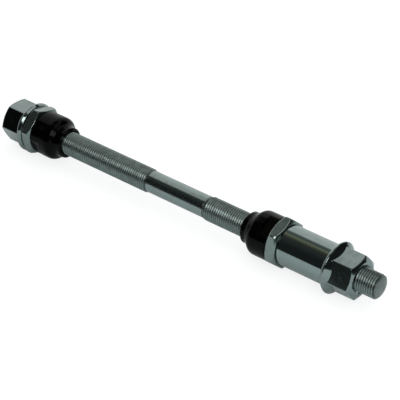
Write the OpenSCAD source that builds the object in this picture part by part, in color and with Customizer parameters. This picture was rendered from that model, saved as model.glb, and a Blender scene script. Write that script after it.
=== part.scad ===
// Bicycle hub axle: a threaded rod with two bearing cones, two locknuts, a spacer sleeve and two flange nuts.
// The rod lies along X with the middle of its length at the origin, and its bare tip points to +X.
// It lies as it comes to rest: on the two flanges, kept from rolling by the corners of the locknuts.

/* [Axle] */
// Length of the rod from end to end
axle_length = 179; // [170:1:190]
// Outer diameter of the thread
thread_d = 9.5; // [9:0.1:10]
// Length of the thread on the -X side
left_thread_length = 73.2; // [66:0.2:78]
// Diameter of the plain waist between the threads
waist_d = 8.6; // [7.5:0.1:8.9]
// Length of the plain waist
waist_length = 27.4; // [18:0.1:31]
// Length over which each thread runs out into the waist
runout_length = 0.8; // [0.3:0.1:2]
// How far the rod sticks out of the nut on the +X side
tip_out = 8.3; // [6:0.1:12]
// How far the rod sticks out of the nut on the -X side
back_out = 0.4; // [0:0.1:2]
// Width and depth of the bevel at both ends of the rod
end_bevel = 0.9; // [0.3:0.1:1.5]
// How far the face at each end of the rod is crowned
end_crown = 0.5; // [0.1:0.1:1]
// Gap all round between the thread and what is screwed onto it
thread_play = 0.05; // [0.02:0.01:0.1]

/* [Flange nuts] */
// Width of the nut across its flats
nut_flats = 15; // [14:0.5:16]
// Height of the nut with its flange
nut_height = 12; // [10:0.2:14]
// Diameter of the flange
flange_d = 19.8; // [18.5:0.1:19.8]
// Thickness of the flange at its rim
flange_rim = 1.9; // [1:0.1:2.3]
// Height at which the slope of the flange meets the flats
flange_height = 3.5; // [2.8:0.1:4.5]
// Rounding of the rim of the flange
rim_round = 0.3; // [0.1:0.05:0.35]
// How far the crown bevel of the nut reaches in from its flats
nut_bevel_in = 1; // [0.3:0.1:1.5]
// Turn of the -X nut from corner down, in degrees
left_nut_turn = 29; // [-30:1:30]
// Turn of the +X nut from corner down, in degrees
right_nut_turn = -20; // [-30:1:30]

/* [Locknuts] */
// Width of the locknut across its flats
locknut_flats = 17.5; // [17.5:0.1:19]
// Height of the locknut
locknut_height = 4.35; // [3.5:0.05:6]
// How far the bevel on both faces of the locknut reaches in from its flats
locknut_bevel_in = 0.35; // [0.1:0.05:0.6]
// Turn of the -X locknut from corner down, in degrees
left_locknut_turn = 13.2; // [12:0.1:18]
// Turn of the +X locknut from corner down, in degrees
right_locknut_turn = -12.3; // [-18:0.1:-12]

/* [Cones] */
// Diameter of the body of the cone
cone_d = 17.3; // [16.5:0.1:18.5]
// Length of the cone from its back face to its nose
cone_length = 13.8; // [13:0.1:16]
// Radius of the groove that the balls run in
race_radius = 3.4; // [3:0.1:4]
// Diameter of the lip at the nose
lip_d = 12.3; // [11.6:0.1:12.8]
// Length of the lip at the nose
lip_length = 1.5; // [1:0.1:2.4]
// Bevel of the nose and of the edge of the back face
cone_bevel = 0.6; // [0.3:0.1:0.9]
// Width across the two spanner flats at the back of the cone
cone_flats = 15; // [14:0.5:16]
// Length of the spanner flats from the back face
cone_flats_length = 4.4; // [2:0.1:5]
// Turn of the flats on the -X cone from level, in degrees
left_cone_turn = -63; // [-90:1:90]
// Turn of the flats on the +X cone from level, in degrees
right_cone_turn = 27; // [-90:1:90]

/* [Spacer sleeve] */
// Outer diameter of the sleeve
sleeve_d = 15.6; // [14:0.1:16.5]
// Length of the sleeve
sleeve_length = 20.6; // [15:0.1:25]
// Gap all round between the thread and the sleeve
sleeve_play = 0.25; // [0.1:0.05:0.5]
// Bevel of the outer edges of the sleeve
sleeve_bevel = 0.25; // [0.1:0.05:0.5]

/* [Thread mouths] */
// How far the bevel at the mouth of each threaded hole reaches out from the thread
mouth_bevel = 0.8; // [0.4:0.1:1]

/* [Hidden] */
$fn = 96;

thread_r = thread_d / 2;
hole_r = thread_r + thread_play;
// A crown bevel on a hexagon rises at 30 degrees
hex_bevel_rise = tan(30);

// Places along the axle, worked inwards from its two ends
tip_x = axle_length / 2;
right_nut_x = tip_x - tip_out - nut_height;
sleeve_x = right_nut_x - sleeve_length;
right_locknut_x = sleeve_x - locknut_height;
left_nut_x = -tip_x + back_out + nut_height;
left_locknut_x = left_nut_x + locknut_height;

// Sets its children, drawn along Z, along the axle from x, turned about the axle
module along_axle(x, turn = 0) {
    translate([x, 0, 0]) rotate([turn, 0, 0]) rotate([0, 90, 0]) children();
}

// The same, pointing to -X
module along_axle_back(x, turn = 0) {
    translate([x, 0, 0]) rotate([turn, 0, 0]) rotate([0, -90, 0]) children();
}

// A threaded hole from the bottom to height, with a bevelled mouth at both ends
module threaded_hole(height) {
    over = 1;
    translate([0, 0, -over]) cylinder(r = hole_r, h = height + 2 * over);
    rotate_extrude()
        polygon([[0, -over], [hole_r + mouth_bevel + over, -over], [hole_r, mouth_bevel], [0, mouth_bevel]]);
    rotate_extrude()
        polygon([[0, height + over], [hole_r + mouth_bevel + over, height + over],
                 [hole_r, height - mouth_bevel], [0, height - mouth_bevel]]);
}

// A hexagonal bar whose corners are bevelled off at the top, and at the bottom too where asked
module hex_bar(flats, height, bevel_in, both_ends) {
    corner_r = flats / 2 / cos(30);
    face_r = flats / 2 - bevel_in;
    fall = (corner_r - face_r) * hex_bevel_rise;
    intersection() {
        cylinder(r = corner_r, h = height, $fn = 6);
        rotate_extrude()
            polygon([[0, 0], [both_ends ? face_r : corner_r, 0], [corner_r, both_ends ? fall : 0],
                     [corner_r, height - fall], [face_r, height], [0, height]]);
    }
}

// A nut with a sloped flange in one piece with it, seat face at the bottom
module flange_nut() {
    flange_r = flange_d / 2;
    difference() {
        union() {
            hex_bar(nut_flats, nut_height, nut_bevel_in, false);
            rotate_extrude()
                polygon([[0, 0], [flange_r - rim_round, 0], [flange_r, rim_round],
                         [flange_r, flange_rim - rim_round], [flange_r - rim_round, flange_rim],
                         [nut_flats / 2, flange_height], [0, flange_height]]);
        }
        threaded_hole(nut_height);
    }
}

module locknut() {
    difference() {
        hex_bar(locknut_flats, locknut_height, locknut_bevel_in, true);
        threaded_hole(locknut_height);
    }
}

// A bearing cone with its back face at the bottom and its nose at the top
module cone() {
    body_r = cone_d / 2;
    lip_r = lip_d / 2;
    // The groove leaves the lip straight outwards and bends back to the edge of the body
    race_rise = body_r - lip_r;
    sweep = acos(max(-1, 1 - race_rise / race_radius));
    race_run = race_radius * sin(sweep);
    lip_foot = cone_length - lip_length;
    cut = cone_d;
    difference() {
        rotate_extrude()
            polygon(concat(
                [[0, 0], [body_r - cone_bevel, 0], [body_r, cone_bevel]],
                [for (i = [0:12])
                    let (a = sweep * (1 - i / 12))
                    [lip_r + race_radius * (1 - cos(a)), lip_foot - race_radius * sin(a)]],
                [[lip_r, cone_length - cone_bevel], [lip_r - cone_bevel, cone_length], [0, cone_length]]));
        translate([0, 0, -1]) cylinder(r = hole_r, h = cone_length + 2);
        for (side = [-1, 1])
            translate([side * (cone_flats + cut) / 2 - cut / 2, -cut, -1])
                cube([cut, 2 * cut, cone_flats_length + 1]);
    }
}

module axle() color("silver") {
    waist_r = waist_d / 2;
    waist_from = left_thread_length;
    waist_to = left_thread_length + waist_length;
    face_r = thread_r - end_bevel;
    along_axle(-tip_x)
        rotate_extrude()
            polygon([[0, 0], [face_r, end_crown], [thread_r, end_crown + end_bevel],
                     [thread_r, waist_from - runout_length], [waist_r, waist_from],
                     [waist_r, waist_to], [thread_r, waist_to + runout_length],
                     [thread_r, axle_length - end_crown - end_bevel],
                     [face_r, axle_length - end_crown], [0, axle_length]]);
}

module left_cone() color([0.1, 0.1, 0.1])
    along_axle(left_locknut_x, left_cone_turn) cone();

module right_cone() color([0.1, 0.1, 0.1])
    along_axle_back(right_locknut_x, right_cone_turn) cone();

module left_locknut() color("gainsboro")
    along_axle(left_nut_x, left_locknut_turn) locknut();

module right_locknut() color("gainsboro")
    along_axle(right_locknut_x, right_locknut_turn) locknut();

module spacer_sleeve() color("lightsteelblue")
    along_axle(sleeve_x) {
        sleeve_r = sleeve_d / 2;
        bore_r = thread_r + sleeve_play;
        rotate_extrude()
            polygon([[bore_r, 0], [sleeve_r - sleeve_bevel, 0], [sleeve_r, sleeve_bevel],
                     [sleeve_r, sleeve_length - sleeve_bevel], [sleeve_r - sleeve_bevel, sleeve_length],
                     [bore_r, sleeve_length]]);
    }

module left_flange_nut() color("lightgray")
    along_axle_back(left_nut_x, -left_nut_turn) flange_nut();

module right_flange_nut() color("lightgray")
    along_axle(right_nut_x, right_nut_turn) flange_nut();

axle();
left_cone();
right_cone();
left_locknut();
right_locknut();
spacer_sleeve();
left_flange_nut();
right_flange_nut();
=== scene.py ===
import math
import bmesh
import bpy
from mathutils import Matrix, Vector


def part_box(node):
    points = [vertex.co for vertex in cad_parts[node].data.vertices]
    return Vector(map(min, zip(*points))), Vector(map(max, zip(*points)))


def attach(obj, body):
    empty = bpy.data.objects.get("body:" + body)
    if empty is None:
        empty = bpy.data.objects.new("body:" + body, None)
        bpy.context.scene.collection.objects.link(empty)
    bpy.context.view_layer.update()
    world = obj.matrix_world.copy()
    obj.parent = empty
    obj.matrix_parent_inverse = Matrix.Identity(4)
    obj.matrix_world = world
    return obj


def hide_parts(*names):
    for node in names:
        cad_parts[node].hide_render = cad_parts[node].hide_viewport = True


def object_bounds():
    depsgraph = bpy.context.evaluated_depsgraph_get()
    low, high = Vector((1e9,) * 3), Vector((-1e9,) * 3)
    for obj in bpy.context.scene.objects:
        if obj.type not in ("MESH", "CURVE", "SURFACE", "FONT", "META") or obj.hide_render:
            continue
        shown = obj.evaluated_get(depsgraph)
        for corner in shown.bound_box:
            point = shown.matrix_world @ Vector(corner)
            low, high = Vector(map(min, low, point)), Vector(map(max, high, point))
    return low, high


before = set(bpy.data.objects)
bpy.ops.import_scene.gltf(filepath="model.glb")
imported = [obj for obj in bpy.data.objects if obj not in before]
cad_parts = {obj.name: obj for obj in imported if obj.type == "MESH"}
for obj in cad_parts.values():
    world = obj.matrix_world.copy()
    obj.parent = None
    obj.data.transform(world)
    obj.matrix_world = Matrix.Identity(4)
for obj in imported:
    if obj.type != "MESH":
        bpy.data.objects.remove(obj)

cad_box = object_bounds()

# Axle
# One steel rod with a right-hand thread rolled on each end and a plain waist left between them.
# It is zinc plated, and everything else is screwed or slid onto it.
MM = 0.001
PITCH = 25.4 / 26
CREST_R = 4.7
ROOT_R = 4.16
# Height of the thread along one turn, from its root at 0 to its crest at 1
THREAD_FORM = [(0.0, 0.0), (0.09, 0.04), (0.43, 0.97), (0.5, 1.0), (0.57, 0.97), (0.91, 0.04), (1.0, 0.0)]
# The plain waist between the two threads
WAIST_R = 4.3
WAIST_FROM = -16.3
WAIST_TO = 11.1
RUNOUT = 1.1
# Height of the low dome that both ends are crowned to
DOME = 1.5
STEPS_ROUND = 48
# Points closer together than this become one
MERGE = 0.002


def thread_height(x, angle):
    """Height of the thread at x, from root 0 to crest 1, at this angle round the rod."""
    along = (x / PITCH - angle / math.tau) % 1
    for (a, low), (b, high) in zip(THREAD_FORM, THREAD_FORM[1:]):
        if along <= b:
            return low + (high - low) * (along - a) / (b - a)
    return 0.0


def thread_places(start, end, angle):
    """Places along X that follow the thread from start to end, so that its crest is one smooth line."""
    first = math.floor(start / PITCH) - 1
    last = math.ceil(end / PITCH)
    for turn in range(first, last + 1):
        for at, height in THREAD_FORM[:-1]:
            x = PITCH * (turn + at + angle / math.tau)
            yield min(max(x, start), end)


def skin(name, angles, section, closed=True):
    """A piece round the X axis. section(angle) gives the points (along, out) of its skin there, in mm."""
    columns = [section(angle) for angle in angles]
    tall = len(columns[0])
    points = []
    for angle, column in zip(angles, columns):
        for x, r in column:
            points.append((x * MM, r * math.cos(angle) * MM, r * math.sin(angle) * MM))
    faces = []
    for i in range(len(angles)):
        j = (i + 1) % len(angles)
        for k in range(tall if closed else tall - 1):
            m = (k + 1) % tall
            faces.append((i * tall + k, i * tall + m, j * tall + m, j * tall + k))
    mesh = bpy.data.meshes.new(name)
    mesh.from_pydata(points, [], faces)
    work = bmesh.new()
    work.from_mesh(mesh)
    bmesh.ops.remove_doubles(work, verts=work.verts, dist=MERGE * MM)
    bmesh.ops.recalc_face_normals(work, faces=work.faces)
    for face in work.faces:
        face.smooth = True
    work.to_mesh(mesh)
    work.free()
    piece = bpy.data.objects.new(name, mesh)
    bpy.context.scene.collection.objects.link(piece)
    even = piece.modifiers.new("flats stay flat", "WEIGHTED_NORMAL")
    even.keep_sharp = True
    return piece


def rod_section(angle):
    """The outside of the rod from end to end. The domes cut its thread off, and it fades out at the waist."""
    low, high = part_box("axle")
    left, right = low.x / MM, high.x / MM

    def out(x):
        inwards = min(1, min(x - left, right - x) / DOME)
        dome = CREST_R * math.sqrt(1 - (1 - inwards) ** 2)
        fade = min(1, max(0, (WAIST_FROM - x if x < 0 else x - WAIST_TO) / RUNOUT))
        return min(ROOT_R + (CREST_R - ROOT_R) * thread_height(x, angle) * fade, dome)

    tilts = [math.radians(10 * k) for k in range(6)]
    cap = [(DOME * (1 - math.cos(tilt)), CREST_R * math.sin(tilt)) for tilt in tilts]
    cap_end = cap[-1][0]
    points = [(left + x, r) for x, r in cap]
    points += [(x, out(x)) for x in thread_places(left + cap_end, WAIST_FROM, angle)]
    points += [(WAIST_FROM, WAIST_R), (WAIST_TO, WAIST_R)]
    points += [(x, out(x)) for x in thread_places(WAIST_TO, right - cap_end, angle)]
    points += [(right - x, r) for x, r in reversed(cap)]
    return points


def linear(hex_colour):
    """A hex sRGB colour as the linear colour that the shader takes."""
    levels = [int(hex_colour[i:i + 2], 16) / 255 for i in (1, 3, 5)]
    return [v / 12.92 if v <= 0.04045 else ((v + 0.055) / 1.055) ** 2.4 for v in levels] + [1]


def add(tree, kind, inputs=None, **settings):
    """Adds a node. Each input is a plain value, or the output of another node."""
    made = tree.nodes.new(kind)
    for name, value in settings.items():
        setattr(made, name, value)
    for name, value in (inputs or {}).items():
        if isinstance(value, bpy.types.NodeSocket):
            tree.links.new(value, made.inputs[name])
        else:
            made.inputs[name].default_value = value
    return made


def plated_metal(name, colour, stain, gloss, marks_mm, marks_depth, root_shade=None):
    """Plated steel: a bright skin, clouded by handling, over the tool's fine marks. gloss is its lowest and
    highest roughness, marks_mm the size of the marks along, across and up, and root_shade the colour
    of the painted shade and dirt in the roots of the thread and the radii that it fades between."""
    material = bpy.data.materials.new(name)
    material.use_nodes = True
    tree = material.node_tree
    shader = tree.nodes["Principled BSDF"]
    place = add(tree, "ShaderNodeTexCoord").outputs["Object"]
    # Handling clouds the plating in patches about 2.5 mm across
    clouds = add(tree, "ShaderNodeTexNoise",
                 {"Vector": place, "Scale": 1 / (2.5 * MM), "Detail": 5, "Roughness": 0.65})
    cloud = clouds.outputs["Fac"]
    patch = add(tree, "ShaderNodeMapRange", {"Value": cloud, "From Min": 0.42, "From Max": 0.72})
    tone = add(tree, "ShaderNodeMix", {0: patch.outputs["Result"], 6: linear(colour), 7: linear(stain)},
               data_type="RGBA").outputs[2]
    rough = add(tree, "ShaderNodeMapRange",
                {"Value": cloud, "From Min": 0.3, "From Max": 0.7, "To Min": gloss[0], "To Max": gloss[1]})
    # Painted shade and dirt: the colour darkens from the crests down into the roots of the thread
    if root_shade:
        root_shade_colour, bottom_r, top_r = root_shade
        flat = add(tree, "ShaderNodeVectorMath", {0: place, 1: (0, 1, 1)}, operation="MULTIPLY").outputs[0]
        out = add(tree, "ShaderNodeVectorMath", {0: flat}, operation="LENGTH").outputs["Value"]
        fade = {"From Min": bottom_r * MM, "From Max": top_r * MM, "To Min": 1, "To Max": 0}
        shaded_root = add(tree, "ShaderNodeMapRange", {"Value": out} | fade)
        tone = add(tree, "ShaderNodeMix", {0: shaded_root.outputs["Result"], 6: tone, 7: linear(root_shade_colour)},
                   data_type="RGBA").outputs[2]
    spacing = tuple(1 / (size * MM) for size in marks_mm)
    stretched = add(tree, "ShaderNodeMapping", {"Vector": place, "Scale": spacing}).outputs["Vector"]
    marks = add(tree, "ShaderNodeTexNoise", {"Vector": stretched, "Scale": 1, "Detail": 3}).outputs["Fac"]
    relief = add(tree, "ShaderNodeBump", {"Height": marks, "Strength": 1, "Distance": marks_depth * MM})
    tree.links.new(tone, shader.inputs["Base Color"])
    tree.links.new(rough.outputs["Result"], shader.inputs["Roughness"])
    tree.links.new(relief.outputs["Normal"], shader.inputs["Normal"])
    shader.inputs["Metallic"].default_value = 1
    return material


def place_piece(piece, node, body, slot, *materials):
    """The piece stands for the CAD node, moves with its body and has these materials."""
    for material in materials:
        piece.data.materials.append(material)
    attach(piece, body)
    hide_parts(node)


# Rolled thread: the plating is bright on the crests, and the roots are painted darker, as shade and grey dirt
# and oil
ROOT_SHADE_FADE = 0.35
rolled_zinc = plated_metal("rolled zinc-plated thread", "#7d8b88", "#6d7672", (0.3, 0.42),
                           (2.0, 0.3, 0.3), 0.005, root_shade=("#49514e", ROOT_R, ROOT_R + ROOT_SHADE_FADE))
# Ground waist: smooth, with fine scratches that run round it
ground_zinc = plated_metal("ground zinc-plated steel", "#869491", "#7f8a86", (0.16, 0.26),
                           (0.12, 2.5, 2.5), 0.0012)
# Ends of the rod: cropped and crowned, so the plating is duller there and a little uneven
cropped_zinc = plated_metal("cropped end, zinc plated", "#767f7b", "#656e6a", (0.26, 0.4),
                            (0.5, 0.5, 0.5), 0.004)
even_angles = [math.tau * i / STEPS_ROUND for i in range(STEPS_ROUND)]
rod = skin("axle_rod", even_angles, rod_section, closed=False)
place_piece(rod, "axle", "rod", "plated_axle", rolled_zinc, ground_zinc, cropped_zinc)
for face in rod.data.polygons:
    middle = face.center.x / MM
    on_end = abs(middle) > rod.bound_box[6][0] / MM - DOME / 2
    face.material_index = 2 if on_end else int(WAIST_FROM - 0.05 < middle < WAIST_TO + 0.05)

# Bearing cones
# Two turned and hardened steel cones, black oxide finished and oiled, screwed onto the thread.
# The balls run in the ground race at the nose of each, and the noses face each other.
CONE_R = 8.65
CONE_BEVEL = 0.6
LIP_R = 6.15
LIP_LENGTH = 1.5
RACE_RADIUS = 3.4
RACE_EDGE = 1.4
HOLE_R = 4.8
CONE_FLATS = 15
CONE_FLATS_LENGTH = 4.4
# How far round the rod one of the two flats faces, in degrees
CONE_FLATS_FACE = {"left": 27, "right": 117}


def eased(corners, steps=3):
    """Rounds the corners of a section. Each corner is (along, out, radius)."""
    points = []
    for i, (x, r, radius) in enumerate(corners):
        here = Vector((x, r))
        before = Vector(corners[i - 1][:2]) - here
        after = Vector(corners[(i + 1) % len(corners)][:2]) - here
        if not radius or before.length < 1e-6 or after.length < 1e-6:
            points.append((x, r))
            continue
        half = before.angle(after) / 2
        reach = min(radius / math.tan(half), before.length * 0.45, after.length * 0.45)
        start = here + before.normalized() * reach
        end = here + after.normalized() * reach
        for k in range(steps + 1):
            t = k / steps
            points.append(tuple((1 - t) ** 2 * start + 2 * t * (1 - t) * here + t ** 2 * end))
    return points


def cone_section(angle, back, way, length, flats_face):
    """Section of a cone from its back face to its nose, which points the way that way gives."""
    sweep = math.acos(1 - (CONE_R - LIP_R) / RACE_RADIUS)
    foot = length - LIP_LENGTH
    cut_r = min(CONE_R, CONE_FLATS / 2 / max(0.1, abs(math.cos(angle - math.radians(flats_face)))))
    back_r = min(cut_r, CONE_R - CONE_BEVEL)
    corners = [(0, HOLE_R + 0.3, 0), (0, back_r, 0.15), (max(0.1, cut_r - back_r), cut_r, 0.15),
               (CONE_FLATS_LENGTH - 0.05, cut_r, 0), (CONE_FLATS_LENGTH, min(CONE_R, cut_r + 0.05), 0),
               (CONE_FLATS_LENGTH, CONE_R - 0.1, 0), (CONE_FLATS_LENGTH + 0.1, CONE_R, 0)]
    # The edge between the body and the race is rounded, and the balls' race bends down from it to the lip
    edge_angle = sweep - RACE_EDGE / RACE_RADIUS
    race = [edge_angle * (1 - k / 10) for k in range(11)]
    race = [(foot - RACE_RADIUS * math.sin(a), LIP_R + RACE_RADIUS * (1 - math.cos(a))) for a in race]
    edge = race[0][0] - (CONE_R - race[0][1]) / math.tan(edge_angle)
    for t in (0, 0.2, 0.4, 0.6, 0.8):
        corners.append(((1 - t) ** 2 * (edge - RACE_EDGE) + 2 * t * (1 - t) * edge + t * t * race[0][0],
                        (1 - t * t) * CONE_R + t * t * race[0][1], 0))
    corners += [(x, r, 0) for x, r in race]
    corners += [(length - CONE_BEVEL, LIP_R, 0.15), (length, LIP_R - CONE_BEVEL, 0.15),
                (length, HOLE_R + 0.25, 0.05), (length - 0.25, HOLE_R, 0), (0.3, HOLE_R, 0)]
    return [(back + way * x, r) for x, r in eased(corners)]


def cone_angles(flats_face):
    """Even steps round a cone, with close ones where its spanner flats begin and end."""
    edge = math.degrees(math.acos(CONE_FLATS / 2 / CONE_R))
    ends = [flats_face + face + side * edge + step
            for face in (0, 180) for side in (-1, 1) for step in (-0.8, 0, 0.8)]
    return sorted(even_angles + [math.radians(end) % math.tau for end in ends])


def black_steel(name, colour, worn, gloss):
    """Black oxide on turned steel: a thin dark skin under a film of oil, rubbed paler on its edges."""
    material = bpy.data.materials.new(name)
    material.use_nodes = True
    tree = material.node_tree
    shader = tree.nodes["Principled BSDF"]
    place = add(tree, "ShaderNodeTexCoord").outputs["Object"]
    # The film of oil draws together in patches about 1.6 mm across
    oil = add(tree, "ShaderNodeTexNoise",
              {"Vector": place, "Scale": 1 / (1.6 * MM), "Detail": 6, "Roughness": 0.7}).outputs["Fac"]
    edge = add(tree, "ShaderNodeNewGeometry").outputs["Pointiness"]
    rubbed = add(tree, "ShaderNodeMapRange",
                 {"Value": edge, "From Min": 0.54, "From Max": 0.62, "To Max": 0.5})
    tone = add(tree, "ShaderNodeMix", {0: rubbed.outputs["Result"], 6: linear(colour), 7: linear(worn)},
               data_type="RGBA").outputs[2]
    rough = add(tree, "ShaderNodeMapRange",
                {"Value": oil, "From Min": 0.3, "From Max": 0.7, "To Min": gloss[0], "To Max": gloss[1]})
    # Turning marks are about 0.1 mm apart, and are drawn three times as coarse so that they show
    turned = add(tree, "ShaderNodeMapping", {"Vector": place, "Scale": (1 / (0.3 * MM), 120, 120)})
    marks = add(tree, "ShaderNodeTexNoise",
                {"Vector": turned.outputs["Vector"], "Scale": 1, "Detail": 2}).outputs["Fac"]
    relief = add(tree, "ShaderNodeBump", {"Height": marks, "Strength": 1, "Distance": 0.006 * MM})
    tree.links.new(tone, shader.inputs["Base Color"])
    tree.links.new(rough.outputs["Result"], shader.inputs["Roughness"])
    tree.links.new(relief.outputs["Normal"], shader.inputs["Normal"])
    shader.inputs["IOR"].default_value = 1.5
    shader.inputs["Specular IOR Level"].default_value = 0.07
    return material


# Oiled black oxide: nearly black, with a soft sheen and faint glints on the rounded edges
oiled_black = black_steel("oiled black oxide steel", "#010101", "#0b0c0c", (0.12, 0.18))
for side, way in (("left", 1), ("right", -1)):
    low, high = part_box(side + "_cone")
    length = (high.x - low.x) / MM
    back = (low.x if way == 1 else high.x) / MM
    flats_face = CONE_FLATS_FACE[side]
    cone = skin(side + "_bearing_cone", cone_angles(flats_face),
                lambda angle: cone_section(angle, back, way, length, flats_face))
    place_piece(cone, side + "_cone", side + "_cone_body", "black_cone", oiled_black)

# Locknuts
# Thin hexagonal nuts that lock the cones where they are set, cut from bar with both faces bevelled.
# They are chromed, and the spanner has left the odd fine scratch on their flats.
LOCKNUT_FLATS = 17.5
LOCKNUT_BEVEL_IN = 0.35
BEVEL_RISE = math.tan(math.radians(30))
LOCKNUT_TURN = {"left": 13.2, "right": -12.3}
MOUTH_BEVEL = 0.8
CORNER_ROUND = 0.6
EDGE_ROUND = 0.3
# Depth of the narrow broken edge outside the bevel of each face, and how steeply it rises
EDGE_BREAK = 0.2
EDGE_SLOPE = 1.6
# Outside this radius the corners fall away as steeply as the broken edge
CROWN_R = 9.6
# Gap between the thread of a nut and the thread of the rod
BORE_PLAY = 0.09


def hexagon(angle, flats, turn):
    """Distance out to a hexagon with rounded corners, one of which is turned this far from straight down."""
    from_corner = (angle - math.radians(270 + turn) + math.pi / 6) % (math.pi / 3) - math.pi / 6
    centre = (flats / 2 - CORNER_ROUND) / math.cos(math.pi / 6)
    beside = centre * math.sin(from_corner)
    if abs(beside) < CORNER_ROUND / 2 * math.cos(math.pi / 6):
        return centre * math.cos(from_corner) + math.sqrt(CORNER_ROUND ** 2 - beside ** 2)
    return flats / 2 / math.cos(math.pi / 6 - abs(from_corner))


def hexagon_angles(turn):
    """Angles round a hexagon, close together at its corners."""
    steps = [0, 0.4, 0.8, 1.2, 1.7, 3, 6, 10, 15, 20, 25, 30]
    sides = [-s for s in steps[-2:0:-1]] + steps
    return [math.radians(270 + turn + 60 * corner + s) % math.tau for corner in range(6) for s in sides]


def threaded_bore(start, end, angle):
    """The thread inside a nut, from its outer mouth at end back to its mouth at start."""
    places = list(thread_places(start, end, angle))
    return [(x, ROOT_R + BORE_PLAY + (CREST_R - ROOT_R) * thread_height(x, angle)) for x in reversed(places)]


def locknut_section(angle, low, high, turn):
    out = hexagon(angle, LOCKNUT_FLATS, turn)
    broken = min(hexagon(angle, LOCKNUT_FLATS - 2 * EDGE_BREAK, turn), CROWN_R)
    face_r = LOCKNUT_FLATS / 2 - LOCKNUT_BEVEL_IN
    fall = (broken - face_r) * BEVEL_RISE
    rim = fall + (out - broken) * EDGE_SLOPE
    mouth_r = HOLE_R + MOUTH_BEVEL
    corners = [(low + MOUTH_BEVEL, HOLE_R, 0), (low, mouth_r, 0.1), (low, face_r, EDGE_ROUND),
               (low + fall, broken, EDGE_ROUND), (low + rim, out, EDGE_ROUND), (high - rim, out, EDGE_ROUND),
               (high - fall, broken, EDGE_ROUND), (high, face_r, EDGE_ROUND), (high, mouth_r, 0.1),
               (high - MOUTH_BEVEL, HOLE_R, 0)]
    return eased(corners) + threaded_bore(low + MOUTH_BEVEL, high - MOUTH_BEVEL, angle)


# Satin chrome: bright, with a slight haze, over the bar's marks, a third of a millimetre apart
satin_chrome = plated_metal("satin chromed steel", "#7c8985", "#727d79", (0.14, 0.24),
                            (0.35, 1.6, 1.6), 0.002)
for side in ("left", "right"):
    low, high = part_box(side + "_locknut")
    turn = LOCKNUT_TURN[side]
    ends = low.x / MM, high.x / MM
    locknut = skin(side + "_lock_nut", sorted(hexagon_angles(turn)),
                   lambda angle: locknut_section(angle, *ends, turn))
    place_piece(locknut, side + "_locknut", side + "_locknut_body", "chromed_locknut", satin_chrome)

# Spacer sleeve
# A length of steel tube that holds the frame clear of the hub on this side, its ends faced square.
# It is polished and chromed, the brightest surface of the set.
SLEEVE_R = 7.8
SLEEVE_BORE_R = 5.0
SLEEVE_BEVEL = 0.25
SLEEVE_BORE_BEVEL = 0.2
low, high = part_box("spacer_sleeve")
start, end = low.x / MM, high.x / MM
face_r = SLEEVE_R - SLEEVE_BEVEL
bore_edge_r = SLEEVE_BORE_R + SLEEVE_BORE_BEVEL
tube = eased([(start, bore_edge_r, 0.05), (start, face_r, 0.1), (start + SLEEVE_BEVEL, SLEEVE_R, 0.15),
              (end - SLEEVE_BEVEL, SLEEVE_R, 0.15), (end, face_r, 0.1), (end, bore_edge_r, 0.05),
              (end - SLEEVE_BORE_BEVEL, SLEEVE_BORE_R, 0.05),
              (start + SLEEVE_BORE_BEVEL, SLEEVE_BORE_R, 0.05)])
sleeve = skin("spacer_tube", even_angles, lambda angle: tube)
# Polished chrome: a clear mirror, with the faintest streaks from the polishing wheel
bright_chrome = plated_metal("polished chromed steel", "#879592", "#808d89", (0.06, 0.11),
                             (0.6, 4.0, 4.0), 0.001)
place_piece(sleeve, "spacer_sleeve", "sleeve_body", "chromed_sleeve", bright_chrome)

# Flange nuts
# Two axle nuts, each cold formed in one piece with the flange that bears on the frame.
# The outer end of the hexagon has a deep bevel. The nuts are tapped, then chromed.
NUT_FLATS = 15
NUT_BEVEL_IN = 1.0
FLANGE_R = 9.89
FLANGE_RIM = 1.65
FLANGE_HEIGHT = 3.5
RIM_ROUND = 0.3
# How far the bevel of the seat's edge reaches along the rim and in from it
SEAT_BEVEL = 1.0
SEAT_BEVEL_IN = 0.8
NUT_TURN = {"left": 29, "right": -20}


def nut_section(angle, seat, way, height, turn):
    """Section of a flange nut from the mouth in its seat, round the outside, to its far mouth and back."""
    out = hexagon(angle, NUT_FLATS, turn)
    slope_r = FLANGE_R - RIM_ROUND
    slope = (FLANGE_HEIGHT - FLANGE_RIM) / (slope_r - NUT_FLATS / 2)
    foot = FLANGE_RIM + (slope_r - out) * slope
    face_r = NUT_FLATS / 2 - NUT_BEVEL_IN
    fall = (out - face_r) * BEVEL_RISE
    mouth_r = HOLE_R + MOUTH_BEVEL
    corners = [(MOUTH_BEVEL, HOLE_R, 0), (0, mouth_r, 0.1), (0, FLANGE_R - SEAT_BEVEL_IN, 0.6),
               (SEAT_BEVEL, FLANGE_R, 0.9), (FLANGE_RIM - RIM_ROUND * slope, FLANGE_R, 0.6), (foot, out, 0.2),
               (height - fall, out, 0.25), (height, face_r, 0.2), (height, mouth_r, 0.1),
               (height - MOUTH_BEVEL, HOLE_R, 0)]
    outside = [(seat + way * x, r) for x, r in eased(corners)]
    mouths = sorted((seat + way * MOUTH_BEVEL, seat + way * (height - MOUTH_BEVEL)))
    bore = threaded_bore(*mouths, angle)
    return outside + (bore if way == 1 else bore[::-1])


# Formed chrome: bright and very slightly uneven, where the forming shows through the plating
formed_chrome = plated_metal("cold-formed chromed steel", "#828f8c", "#788481", (0.07, 0.13),
                             (1.2, 1.2, 1.2), 0.002)
for side, way in (("left", -1), ("right", 1)):
    low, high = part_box(side + "_flange_nut")
    seat = (high.x if way == -1 else low.x) / MM
    height = (high.x - low.x) / MM
    turn = NUT_TURN[side]
    nut = skin(side + "_axle_nut", sorted(hexagon_angles(turn)),
               lambda angle: nut_section(angle, seat, way, height, turn))
    place_piece(nut, side + "_flange_nut", side + "_nut_body", "chromed_nut", formed_chrome)

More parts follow.
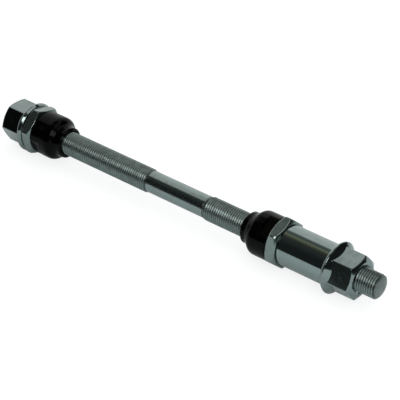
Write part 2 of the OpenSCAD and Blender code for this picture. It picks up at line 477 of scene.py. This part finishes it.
# Floor, studio and camera
# The axle lies on a sheet of white paper, under one wide soft lamp and a small one beside the camera.
# Dark graduated cards at the left, in front, overhead and at the right are there for the metal to reflect.
SHEET_FRONT = -0.15
SHEET_BACK = 0.9
SHEET_SIDE = 0.7
SHEET_GLOW = 1.24
CARD_AWAY = 0.9
# Where the camera stands round the object and above the floor, in degrees, and how far off
CAMERA_TURN = 40.025
CAMERA_RISE = 33.625
CAMERA_AWAY = 0.68
CAMERA_AIM = (0.00953, 0, 0)
FOCAL_PIXELS = 1840.8
PHOTO_PIXELS = 400
# How far the point aimed at lies right of the picture's middle and below it, in pixels
AIM_OFFSET = (5.24, 6.12)


def studio_sheet(name, points, faces):
    """A sheet of the studio, which isn't part of the axle."""
    mesh = bpy.data.meshes.new(name)
    mesh.from_pydata(points, [], faces)
    made = bpy.data.objects.new(name, mesh)
    bpy.context.scene.collection.objects.link(made)
    return made


def seen_directly(tree, by_camera, by_metal):
    """How much of the plain white a ray sees, if it comes from the camera or from a bright surface."""
    path = add(tree, "ShaderNodeLightPath")
    bright = add(tree, "ShaderNodeMath",
                 {0: path.outputs["Is Glossy Ray"], 1: path.outputs["Is Transmission Ray"]},
                 operation="MAXIMUM")
    part = add(tree, "ShaderNodeMath", {0: bright.outputs[0], 1: by_metal}, operation="MULTIPLY").outputs[0]
    return add(tree, "ShaderNodeMath", {0: path.outputs["Is Camera Ray"], 1: by_camera, 2: part},
               operation="MULTIPLY_ADD").outputs[0]


floor_z = cad_box[0][2]
corners = [(-SHEET_SIDE, SHEET_FRONT, floor_z), (SHEET_SIDE, SHEET_FRONT, floor_z),
           (SHEET_SIDE, SHEET_BACK, floor_z), (-SHEET_SIDE, SHEET_BACK, floor_z)]
floor = studio_sheet("floor", corners, [(0, 1, 2, 3)])
# White paper: matt, and plain enough to the camera that only the soft shadow shows on it
paper = bpy.data.materials.new("white paper sheet")
paper.use_nodes = True
tree = paper.node_tree
matt = tree.nodes["Principled BSDF"]
matt.inputs["Base Color"].default_value = linear("#e4ebed")
matt.inputs["Roughness"].default_value = 0.9
matt.inputs["Specular IOR Level"].default_value = 0.1
glow = add(tree, "ShaderNodeEmission", {"Color": (1, 1, 1, 1), "Strength": SHEET_GLOW}).outputs[0]
mixed = add(tree, "ShaderNodeMixShader", {0: seen_directly(tree, 0.65, 0.06), 1: matt.outputs[0], 2: glow})
tree.links.new(mixed.outputs[0], tree.nodes["Material Output"].inputs["Surface"])
floor.data.materials.append(paper)

# The room is plain white to the camera and in the metal, and a little dimmer as a source of light
world = bpy.data.worlds.new("studio")
bpy.context.scene.world = world
world.use_nodes = True
tree = world.node_tree
white = add(tree, "ShaderNodeMapRange", {"Value": seen_directly(tree, 1, 1), "To Min": 0.63, "To Max": 1.0})
tree.links.new(white.outputs["Result"], tree.nodes["Background"].inputs["Strength"])
tree.nodes["Background"].inputs["Color"].default_value = (1, 1, 1, 1)


def direction(turn, rise):
    """The way towards a camera or lamp, from its turn round the object and its rise above the floor."""
    a, e = math.radians(turn), math.radians(rise)
    return Vector((math.sin(a) * math.cos(e), -math.cos(a) * math.cos(e), math.sin(e)))


def lamp(name, wide, tall, level, place):
    """A soft lamp that faces the object, wide by tall metres. level is how bright its face looks."""
    light = bpy.data.lights.new(name, "AREA")
    light.shape = "RECTANGLE"
    light.size = wide
    light.size_y = tall
    light.energy = level * math.pi * wide * tall
    holder = bpy.data.objects.new(name, light)
    bpy.context.scene.collection.objects.link(holder)
    holder.location = place
    holder.rotation_euler = Vector(place).to_track_quat("Z", "Y").to_euler()
    holder.visible_camera = False
    return holder


# The wide lamp lights the object, but doesn't show in the metal
overhead = lamp("overhead", 1.4, 1.4, 0.56, direction(180, 75))
overhead.visible_glossy = False
# The small lamp gives the line of light along the thread and the glints on the rounded edges
lamp("beside_camera", 0.2, 0.2, 4, direction(53, 36.5) * 0.45)


def graduated_card(name, points, faces, bands):
    """A card that only the metal reflects. bands are (rise in degrees, colour), in order."""
    card = studio_sheet(name, points, faces)
    board = bpy.data.materials.new(name + " board")
    board.use_nodes = True
    tree = board.node_tree
    spot = add(tree, "ShaderNodeTexCoord").outputs["Object"]
    place = add(tree, "ShaderNodeSeparateXYZ", {0: spot}).outputs
    forward = add(tree, "ShaderNodeMath", {0: place["Y"], 1: -1}, operation="MULTIPLY").outputs[0]
    rise = add(tree, "ShaderNodeMath", {0: place["Z"], 1: forward}, operation="ARCTAN2").outputs[0]
    first, last = math.radians(bands[0][0]), math.radians(bands[-1][0])
    along = add(tree, "ShaderNodeMapRange", {"Value": rise, "From Min": first, "From Max": last})
    ramp = add(tree, "ShaderNodeValToRGB", {"Fac": along.outputs["Result"]})
    stops = ramp.color_ramp.elements
    for i, (angle, colour) in enumerate(bands):
        at = (math.radians(angle) - first) / (last - first)
        if 0 < i < len(bands) - 1:
            stop = stops.new(at)
        else:
            stop = stops[0 if i == 0 else len(stops) - 1]
        stop.color = linear(colour)
    plain = add(tree, "ShaderNodeEmission", {"Color": ramp.outputs["Color"], "Strength": 1.0}).outputs[0]
    tree.links.new(plain, tree.nodes["Material Output"].inputs["Surface"])
    card.data.materials.append(board)
    card.visible_camera = False
    card.visible_diffuse = False
    card.visible_shadow = False


def bent_card(name, left, right, bands):
    """A graduated card bent round the line of the rod."""
    points, faces = [], []
    steps = 20
    for k in range(steps + 1):
        rise = math.radians(bands[0][0] + (bands[-1][0] - bands[0][0]) * k / steps)
        points += [(x, -CARD_AWAY * math.cos(rise), CARD_AWAY * math.sin(rise)) for x in (left, right)]
    for k in range(steps):
        faces.append((2 * k, 2 * k + 1, 2 * k + 3, 2 * k + 2))
    graduated_card(name, points, faces, bands)


bent_card("left_card", -1.3, -0.7, [(-7, "#161818"), (36, "#161818"), (48, "#4a4e4d"), (60, "#4d5150"),
                                    (74, "#4d4d48"), (84, "#73705f")])
bent_card("front_card", -0.7, CARD_AWAY, [(-7, "#383c3b"), (4, "#303333"), (36, "#303333"), (60, "#434848"),
                                          (74, "#4d4d48"), (84, "#73705f")])
bent_card("upper_card", -0.53, 0.3, [(84, "#73705f"), (91, "#a5a188"), (98, "#868a80"), (104, "#626a67"),
                                     (112, "#858c8a"), (118, "#b4b9b7")])
# The right-hand card is one plain dark wall, bent round the axle
wall = [direction(turn, 0) * CARD_AWAY * 1.1 for turn in range(48, 171, 6)]
points = [(spot.x, spot.y, z) for spot in wall for z in (-0.02, 0.95)]
graduated_card("right_card", points, [(i, i + 1, i + 3, i + 2) for i in range(0, len(points) - 2, 2)],
               [(-180, "#2c3030"), (180, "#2c3030")])

view = bpy.data.cameras.new("camera")
camera = bpy.data.objects.new("camera", view)
bpy.context.scene.collection.objects.link(camera)
away = direction(CAMERA_TURN, CAMERA_RISE)
camera.location = Vector(CAMERA_AIM) + away * CAMERA_AWAY
camera.rotation_euler = away.to_track_quat("Z", "Y").to_euler()
view.sensor_width = 36
view.lens = FOCAL_PIXELS / PHOTO_PIXELS * view.sensor_width
view.shift_x = -AIM_OFFSET[0] / PHOTO_PIXELS
view.shift_y = AIM_OFFSET[1] / PHOTO_PIXELS
view.clip_start = 0.01
bpy.context.scene.camera = camera
bpy.context.scene.view_settings.view_transform = "Standard"
